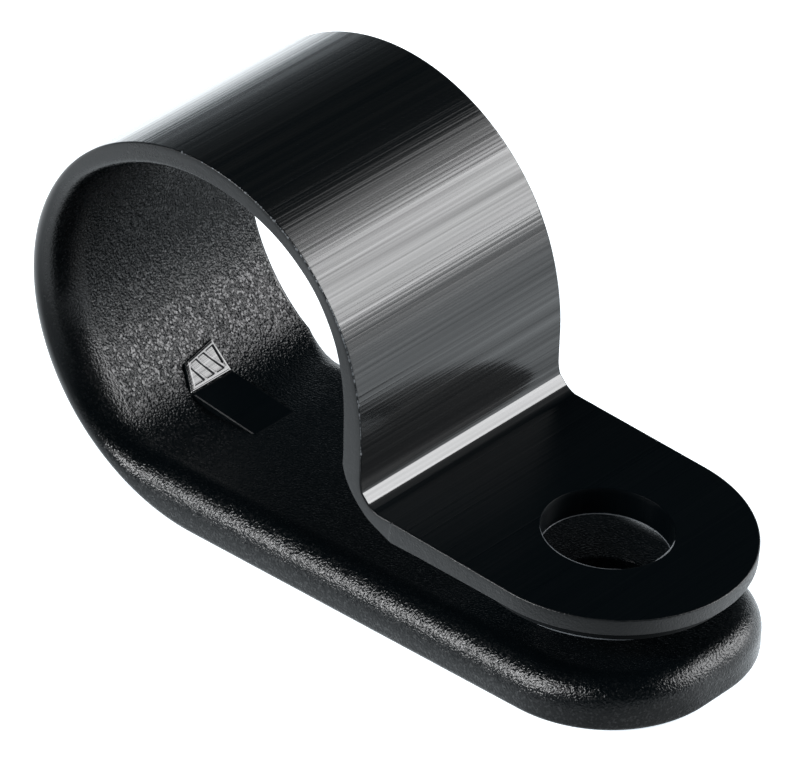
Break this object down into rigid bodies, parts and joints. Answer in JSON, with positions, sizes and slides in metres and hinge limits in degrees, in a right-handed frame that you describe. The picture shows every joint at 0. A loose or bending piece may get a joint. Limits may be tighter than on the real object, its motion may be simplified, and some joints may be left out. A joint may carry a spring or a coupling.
{
  "type": "cable clamp",
  "caption": "Moulded nylon P-shaped cable clamp: a thin strap loops from a thick base round a cable and returns as a tab, with a screw hole through both.",
  "frame": {"origin": "on the flat underside of the base, on the axis of the base's screw hole", "axes": "+X from the loop towards the screw end, +Y along the cable, +Z away from the mounting surface"},
  "size_m": [0.0249, 0.0094, 0.014],
  "materials": {
    "nylon": "black nylon: polished strap and tab, spark-eroded inside and on the base"
  },
  "bodies": {
    "root": {"clamp_body": "nylon"}
  },
  "joints": []
}
